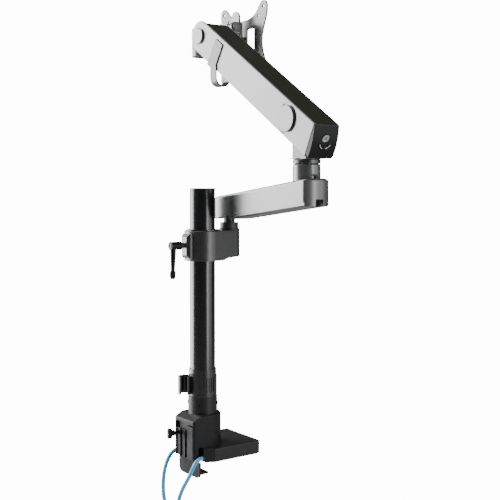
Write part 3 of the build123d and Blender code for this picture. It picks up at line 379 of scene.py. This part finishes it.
def make_finishes(colours, cords):
    """Makes every finish of the arm; each maker files its own in FINISHES."""
    paint = {"Specular_IOR_Level": 0.7, "Coat_IOR": 1.5}
    dull = {"Specular_IOR_Level": 0.2}
    coated(
        "pole enamel", colours.enamel, 0.25, 0.04, 260.0, 0.000008, 0.35, 0.04, Coat_Weight=0.5,
        Coat_Roughness=0.14
    )
    coated(
        "satin casting", colours.satin, 0.40, 0.10, 900.0, 0.00005, 0.6, 0.10, Coat_Weight=0.6,
        Coat_Roughness=0.3, **paint
    )
    # Link paint, arm panel and head paint take the panel grey, which carries a painted reflection.
    coated(
        "link paint", colours.panel, 0.33, 0.06, 700.0, 0.00003, 0.8, 0.10, Coat_Weight=1.0,
        Coat_Roughness=0.26, **paint
    )
    coated(
        "arm panel", colours.panel, 0.36, 0.06, 800.0, 0.00003, 0.8, 0.10, Coat_Weight=1.0,
        Coat_Roughness=0.3, **paint
    )
    coated(
        "head paint", colours.panel, 0.38, 0.08, 800.0, 0.00004, 0.9, 0.10, Coat_Weight=0.9,
        Coat_Roughness=0.3, **paint
    )
    coated(
        "plate paint", colours.satin, 0.34, 0.08, 800.0, 0.00004, 0.9, 0.10, Coat_Weight=0.5,
        Coat_Roughness=0.3, **paint
    )
    coated(
        "base paint", colours.base, 0.36, 0.08, 750.0, 0.00005, 0.5, 0.10, Specular_IOR_Level=0.35
    )
    coated(
        "housing plastic", colours.plastic, 0.46, 0.08, 620.0, 0.00007, 0.4, 0.12, **dull
    )
    coated("black sheet", colours.enamel, 0.5, 0.08, 820.0, 0.00004, 0.7, 0.08, **dull)
    coated(
        "top cover plastic", (0.0135, 0.0135, 0.0085), 0.45, 0.08, 650.0, 0.00006, 0.3, 0.06,
        Specular_IOR_Level=0.4
    )
    coated(
        "gloss cap", colours.enamel, 0.34, 0.06, 300.0, 0.00002, 0.3, 0.06, **dull
    )
    coated(
        "clip plastic", colours.plastic, 0.30, 0.08, 480.0, 0.00004, 0.4, 0.10, Coat_Weight=0.4,
        Coat_Roughness=0.2
    )
    coated("rubber", (0.02, 0.02, 0.02), 0.75, 0.12, 340.0, 0.00012, 0.2, 0.25)
    coated("bush nylon", (0.03, 0.03, 0.031), 0.5, 0.1, 500.0, 0.00003, 0.1, 0.05)
    metal("zinc", (0.78, 0.79, 0.81), 0.24, 0.2, 420.0)
    metal("turned steel", (0.50, 0.50, 0.52), 0.30, 0.22, 520.0)
    metal("oxide steel", (0.06, 0.06, 0.065), 0.34, 0.2, 520.0)
    metal("brass", (0.68, 0.50, 0.22), 0.30, 0.2, 480.0)
    jacket_material("lead jacket", cords.jacket)
    coated("mark paint", (0.55, 0.55, 0.56), 0.5, 0.1, 900.0, 0.00002, 0.1, 0.02)


NODE_FINISH = {
    "pole enamel": ["pole"],
    "satin casting": ["arm_bracket", "head_link", "elbow_knuckle", "gas_spring_cylinder"],
    "black sheet": ["clamp_bracket", "wing_screw"],
    "link paint": ["lower_link", "link_cable_cover"],
    "arm panel": ["arm_shell", "pivot_caps"],
    "head paint": ["pan_bracket", "pan_pin", "tilt_plate", "tilt_bolt"],
    "plate paint": ["screen_plate"],
    "base paint": ["base_plate", "pole_collar"],
    "housing plastic": ["column_housing", "rear_covers", "usb_bezel", "pole_foot_plug", "link_tail_lid"],
    "top cover plastic": ["arm_top_cover"],
    "gloss cap": ["arm_end_cap", "lever_handle"],
    "clip plastic": ["pole_clip", "pole_liner", "pole_trim", "arm_cable_clip", "rotation_disc"],
    "rubber": ["desk_pad", "cord_grommets", "cord_ties"],
    "bush nylon": ["link_bushes", "arm_axle_bushes", "pan_washers", "bracket_friction_pads"],
    "zinc": ["tension_screw", "tie_rod", "rotation_bolt", "link_pin_screw"],
    "turned steel": ["usb_module", "link_pivot_pin", "elbow_pins", "head_pins", "elbow_spindle",
                     "gas_spring_rod"],
    "oxide steel": ["collar_grub_screws", "elbow_grub_screw", "elbow_screw", "lever_stud", "base_screws"],
    "brass": ["tension_nut"],
    "lead jacket": ["usb_plugs"],
}


# ---- small helpers for pieces ----
def as_object(name, bm, finish, body):
    """Ends a bmesh: normals outwards, a new object at the origin, its finish, slot and body."""
    bmesh.ops.remove_doubles(bm, verts=bm.verts, dist=1e-6)
    bmesh.ops.recalc_face_normals(bm, faces=bm.faces)
    mesh = bpy.data.meshes.new(name)
    bm.to_mesh(mesh)
    bm.free()
    piece = bpy.data.objects.new(name, mesh)
    bpy.context.scene.collection.objects.link(piece)
    mesh.materials.append(FINISHES[finish])
    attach(piece, body)
    return piece


def smooth_by_angle(piece, degrees=40):
    mesh = piece.data
    mesh.shade_smooth()
    mesh.set_sharp_from_angle(angle=math.radians(degrees))


# The arm's own frame: u runs towards the head, v towards the clamp side, n square to the arm.
ARM_PITCH = math.radians(32.6)
ARM_PIVOT = Vector((0.1557, 0.045, 0.4588))
ARM_U = Vector((-math.cos(ARM_PITCH), 0, math.sin(ARM_PITCH)))
ARM_N = Vector((math.sin(ARM_PITCH), 0, math.cos(ARM_PITCH)))
ARM_V = Vector((0, -1, 0))
ON_ARM = Matrix.Translation(ARM_PIVOT) @ Matrix((ARM_U, ARM_V, ARM_N)).transposed().to_4x4()


# ---- operators ----
class ARM_OT_finishes(bpy.types.Operator):
    """Gives every modelled part its paint, plastic, rubber or metal"""

    bl_idname = "monitor_arm.finishes"
    bl_label = "Finishes"

    def execute(self, context):
        make_finishes(context.scene.arm_finishes, context.scene.arm_cords)
        given = set()
        for finish, names in NODE_FINISH.items():
            for name in names:
                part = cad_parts[name]
                for slot in part.material_slots:
                    slot.material = FINISHES[finish]
                given.add(name)
        left = set(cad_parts) - given - CORD_NODES
        if left:
            raise RuntimeError("no finish for " + ", ".join(sorted(left)))
        return {"FINISHED"}


CORD_NODES = {"left_cord", "right_cord", "left_cord_coil", "right_cord_coil"}
COIL_CENTRE = Vector((0.0, -0.052, -0.128))
LEFT_ROUTE = [
    (-30.0, -19.0, 5.8),
    (-30.0, -25.0, 5.8),
    (-28.8, -35.5, 0.5),
    (-27.6, -43.2, -12.0),
    (-27.0, -46.8, -25.0),
    (-27.4, -47.8, -40.5),
    (-28.2, -46.4, -58.0),
    (-29.0, -40.5, -76.5),
]
RIGHT_ROUTE = [
    (30.0, -19.0, 5.8),
    (30.0, -24.5, 5.8),
    (30.0, -30.5, 2.0),
    (29.6, -35.5, -6.5),
    (29.2, -41.5, -17.5),
    (29.0, -50.5, -29.0),
    (29.5, -58.0, -43.5),
    (29.5, -59.5, -60.5),
    (29.2, -52.0, -76.5),
    (29.0, -42.0, -87.5),
]
TURN_SLOTS = [60, 120, 180, 240, 300, None, 0]
COIL_START = 57.0
POINTS_A_TURN = 16
CROSSING = 40.0


def slot_offset(slot, spacing, side):
    """Where one turn lies in the bundle: how far out from the middle turn, and how far along X."""
    if slot is None:
        return Vector((0.0, 0.0))
    a = math.radians(slot)
    return Vector((spacing * math.cos(a), side * spacing * math.sin(a)))


def coil_points(side, x, radius, spacing):
    """Seven turns that lie beside and on each other; each crosses to its neighbour's place."""
    offsets = [slot_offset(s, spacing, side) for s in TURN_SLOTS]
    crossings = [(360.0 - CROSSING) * (k + 1) for k in range(len(offsets) - 1)]
    last = COIL_START + 360.0 * (len(offsets) - 1)
    step = 360.0 / POINTS_A_TURN
    points = []
    travel = 0.0
    while travel <= last + 0.1:
        place = offsets[0]
        for k, begin in enumerate(crossings):
            t = min(max((travel - begin) / CROSSING, 0.0), 1.0)
            place = place.lerp(offsets[k + 1], t) if t < 1.0 else offsets[k + 1]
        arrive = max(0.0, 1.0 - travel / 60.0)
        r = radius + place.x + 0.0056 * arrive
        a = math.radians(COIL_START - travel)
        points.append((x + place.y, COIL_CENTRE.y + r * math.cos(a), COIL_CENTRE.z + r * math.sin(a)))
        travel += step
    r = radius + offsets[-1].x
    y = COIL_CENTRE.y
    points.append((x, y + r - 0.0012, COIL_CENTRE.z - 0.009))
    points.append((x, y + radius + 0.0012, COIL_CENTRE.z - 0.018))
    points.append((x, y + radius, COIL_CENTRE.z - 0.0243))
    points.append((x, y + radius, COIL_CENTRE.z - 0.029))
    return points


class ARM_OT_cords(bpy.types.Operator):
    """Lays the two leads from the base down to their tied coils and plugs"""

    bl_idname = "monitor_arm.cords"
    bl_label = "Leads"

    def execute(self, context):
        sizes = context.scene.arm_cords
        for name, side, route in (("left", -1, LEFT_ROUTE), ("right", 1, RIGHT_ROUTE)):
            points = [tuple(c * MM for c in p) for p in route]
            points += coil_points(side, side * 0.029, sizes.coil_radius, sizes.turn_spacing)
            curve = bpy.data.curves.new(f"{name}_lead", "CURVE")
            curve.dimensions = "3D"
            spline = curve.splines.new("NURBS")
            spline.points.add(len(points) - 1)
            for point, place in zip(spline.points, points):
                point.co = (*place, 1.0)
            spline.order_u = 3
            spline.use_endpoint_u = True
            spline.resolution_u = 6
            curve.bevel_depth = sizes.diameter / 2
            curve.bevel_resolution = 4
            curve.use_fill_caps = True
            lead = bpy.data.objects.new(f"{name}_lead", curve)
            context.scene.collection.objects.link(lead)
            curve.materials.append(FINISHES["lead jacket"])
            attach(lead, "base")
            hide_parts(f"{name}_cord", f"{name}_cord_coil")
        return {"FINISHED"}


# The turning marks: two arcs about the tension screw, placed in the arm's own frame.
MARK_STARTS = (200, 285)
MARK_SWEEP = 55
MARK_RADIUS = 0.0088
MARK_WIDTH = 0.0008
MARK_DEPTH = 0.0012
MARK_PLACE = (-0.0606, 0, 0.0015)


class ARM_OT_cap_marks(bpy.types.Operator):
    """Adds the raised turning marks round the tension screw on the end cap"""

    bl_idname = "monitor_arm.cap_marks"
    bl_label = "Cap marks"

    def execute(self, context):
        bm = bmesh.new()
        for start in MARK_STARTS:
            foot = [bm.verts.new((0, MARK_RADIUS + edge * MARK_WIDTH / 2, 0)) for edge in (-1, 1)]
            edge = bm.edges.new(foot)
            spin = Matrix.Rotation(math.radians(start), 4, "X")
            bmesh.ops.transform(bm, matrix=spin, verts=foot)
            bmesh.ops.spin(
                bm, geom=foot + [edge], cent=(0, 0, 0), axis=(1, 0, 0),
                angle=math.radians(MARK_SWEEP), steps=10
            )
        flat = list(bm.faces)
        raised = bmesh.ops.extrude_face_region(bm, geom=flat)
        lift = [v for v in raised["geom"] if isinstance(v, bmesh.types.BMVert)]
        bmesh.ops.translate(bm, vec=(-MARK_DEPTH, 0, 0), verts=lift)
        bmesh.ops.transform(bm, matrix=ON_ARM @ Matrix.Translation(MARK_PLACE), verts=bm.verts)
        marks = as_object("cap_turning_marks", bm, "mark paint", "arm")
        smooth_by_angle(marks)
        return {"FINISHED"}


FLOOR_RADIUS = 9.0
LIGHT_TARGET = Vector((0.03, 0.03, 0.3))
CAMERA_PLACE = (1.0976, -0.7166, 0.375)
CAMERA_HEADING = (-0.809, 0.588)
SENSOR_WIDTH = 36.0


def add_floor(stage):
    """A pale disc below the coils; the camera sees it as bright as the background."""
    floor_material, tree, shader = blank_material("pale floor", Roughness=0.9)
    shader.inputs["Base Color"].default_value = (0.5, 0.5, 0.5, 1)
    paper = tree.nodes.new("ShaderNodeEmission")
    paper.inputs["Strength"].default_value = stage.backdrop
    looked_at = tree.nodes.new("ShaderNodeLightPath")
    either = tree.nodes.new("ShaderNodeMixShader")
    tree.links.new(looked_at.outputs["Is Camera Ray"], either.inputs[0])
    tree.links.new(shader.outputs[0], either.inputs[1])
    tree.links.new(paper.outputs[0], either.inputs[2])
    tree.links.new(either.outputs[0], tree.nodes["Material Output"].inputs["Surface"])
    bm = bmesh.new()
    bmesh.ops.create_circle(bm, cap_ends=True, segments=64, radius=FLOOR_RADIUS)
    floor_z = CAD_BOX[0][2] - stage.floor_drop
    bmesh.ops.translate(bm, vec=(0, 0, floor_z), verts=bm.verts)
    mesh = bpy.data.meshes.new("floor")
    bm.to_mesh(mesh)
    bm.free()
    floor = bpy.data.objects.new("floor", mesh)
    bpy.context.scene.collection.objects.link(floor)
    mesh.materials.append(floor_material)


def add_lights(stage):
    """Soft boxes; each row is name, power, direction, distance, width and height."""
    lights = (
        ("key box", stage.key, (-0.85, -0.56, 0.10), 1.5, 1.3, 1.9),
        ("right strip", stage.fill, (0.97, 0.22, 0.03), 1.8, 0.5, 1.9),
        ("right box", stage.side, (0.8, 0.5, 0.1), 1.7, 1.6, 2.0),
        ("top box", stage.top, (-0.10, -0.35, 1.0), 1.6, 1.0, 1.0),
    )
    for name, power, direction, distance, width, height in lights:
        data = bpy.data.lights.new(name, "AREA")
        data.shape = "RECTANGLE"
        data.size = width
        data.size_y = height
        data.energy = power
        lamp = bpy.data.objects.new(name, data)
        away = Vector(direction).normalized()
        lamp.location = LIGHT_TARGET + away * distance
        lamp.rotation_euler = away.to_track_quat("Z", "Y").to_euler()
        bpy.context.scene.collection.objects.link(lamp)


def white_background(tree, strength):
    node = tree.nodes.new("ShaderNodeBackground")
    node.inputs["Color"].default_value = (1, 1, 1, 1)
    node.inputs["Strength"].default_value = strength
    return node.outputs[0]


def set_world(stage):
    """Weak light from all round, and a bright background that only the camera sees."""
    world = bpy.data.worlds.new("studio")
    bpy.context.scene.world = world
    world.use_nodes = True
    tree = world.node_tree
    tree.nodes.clear()
    out = tree.nodes.new("ShaderNodeOutputWorld")
    seen = tree.nodes.new("ShaderNodeLightPath")
    mix = tree.nodes.new("ShaderNodeMixShader")
    tree.links.new(seen.outputs["Is Camera Ray"], mix.inputs[0])
    tree.links.new(white_background(tree, stage.ambient), mix.inputs[1])
    tree.links.new(white_background(tree, stage.backdrop), mix.inputs[2])
    tree.links.new(mix.outputs[0], out.inputs["Surface"])


def add_camera(stage):
    data = bpy.data.cameras.new("camera")
    data.lens = stage.lens
    data.sensor_width = SENSOR_WIDTH
    data.dof.use_dof = False
    data.shift_y = stage.shift
    camera = bpy.data.objects.new("camera", data)
    camera.location = CAMERA_PLACE
    down = math.radians(stage.tilt)
    east, north = CAMERA_HEADING
    look = Vector((east * math.cos(down), north * math.cos(down), -math.sin(down)))
    camera.rotation_euler = look.to_track_quat("-Z", "Y").to_euler()
    bpy.context.scene.collection.objects.link(camera)
    bpy.context.scene.camera = camera


class ARM_OT_stage(bpy.types.Operator):
    """Sets the pale floor, the soft lights and the camera"""

    bl_idname = "monitor_arm.stage"
    bl_label = "Stage"

    def execute(self, context):
        stage = context.scene.arm_stage
        add_floor(stage)
        add_lights(stage)
        set_world(stage)
        add_camera(stage)
        return {"FINISHED"}


class ARM_PT_panel(bpy.types.Panel):
    """Lists the steps in the order in which they are run"""

    bl_idname = "ARM_PT_panel"
    bl_label = "Monitor Arm"
    bl_space_type = "VIEW_3D"
    bl_region_type = "UI"
    bl_category = "Monitor Arm"

    def draw(self, context):
        column = self.layout.column()
        for step in STEPS:
            column.operator(step.bl_idname)


STEPS = (ARM_OT_finishes, ARM_OT_cords, ARM_OT_cap_marks, ARM_OT_stage)
SETTINGS = {"arm_cords": ArmCordSizes, "arm_finishes": ArmFinishes, "arm_stage": ArmStage}


def register():
    for group in SETTINGS.values():
        bpy.utils.register_class(group)
    for name, group in SETTINGS.items():
        setattr(bpy.types.Scene, name, bpy.props.PointerProperty(type=group))
    for step in STEPS:
        bpy.utils.register_class(step)
    bpy.utils.register_class(ARM_PT_panel)


def unregister():
    bpy.utils.unregister_class(ARM_PT_panel)
    for step in reversed(STEPS):
        bpy.utils.unregister_class(step)
    for name, group in SETTINGS.items():
        delattr(bpy.types.Scene, name)
        bpy.utils.unregister_class(group)


def main():
    register()
    bpy.ops.monitor_arm.finishes()
    bpy.ops.monitor_arm.cords()
    bpy.ops.monitor_arm.cap_marks()
    bpy.ops.monitor_arm.stage()


if __name__ == "__main__":
    main()
